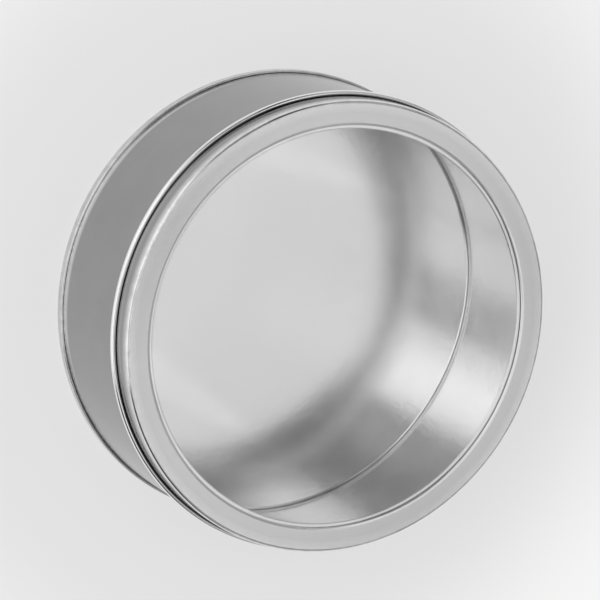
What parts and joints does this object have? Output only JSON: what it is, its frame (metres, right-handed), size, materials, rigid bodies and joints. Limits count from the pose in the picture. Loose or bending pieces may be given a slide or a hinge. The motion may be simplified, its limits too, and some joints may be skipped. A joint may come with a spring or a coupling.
{
  "type": "window lid tin",
  "caption": "Round low tinplate tin with a double-seamed base and a slip-over lid whose flat rim frames a large clear round window.",
  "frame": {"origin": "centre of the base's standing edge, on the surface that the tin stands on", "axes": "+Z is the tin's axis, up out of the lid; +X points at the welded side seam"},
  "size_m": [0.1532, 0.1532, 0.0556],
  "materials": {
    "body_tinplate": "bare tinplate, satin, fine grain up the wall",
    "base_tinplate": "bare tinplate, satin, pressed flat",
    "lid_tinplate": "bare tinplate, satin, drawn and curled",
    "ring_tinplate": "bare tinplate, satin, hemmed edge",
    "clear_plastic": "clear glossy plastic sheet"
  },
  "bodies": {
    "tin_body": {"body_shell": "body_tinplate", "base_end": "base_tinplate"},
    "lid": {"lid_ring": "lid_tinplate", "window_retaining_ring": "ring_tinplate", "window_pane": "clear_plastic"}
  },
  "joints": [
    {"name": "lid_lift", "type": "slide", "parent": "tin_body", "child": "lid", "axis": [0, 0, 1], "range_m": [0, 0.08]}
  ]
}
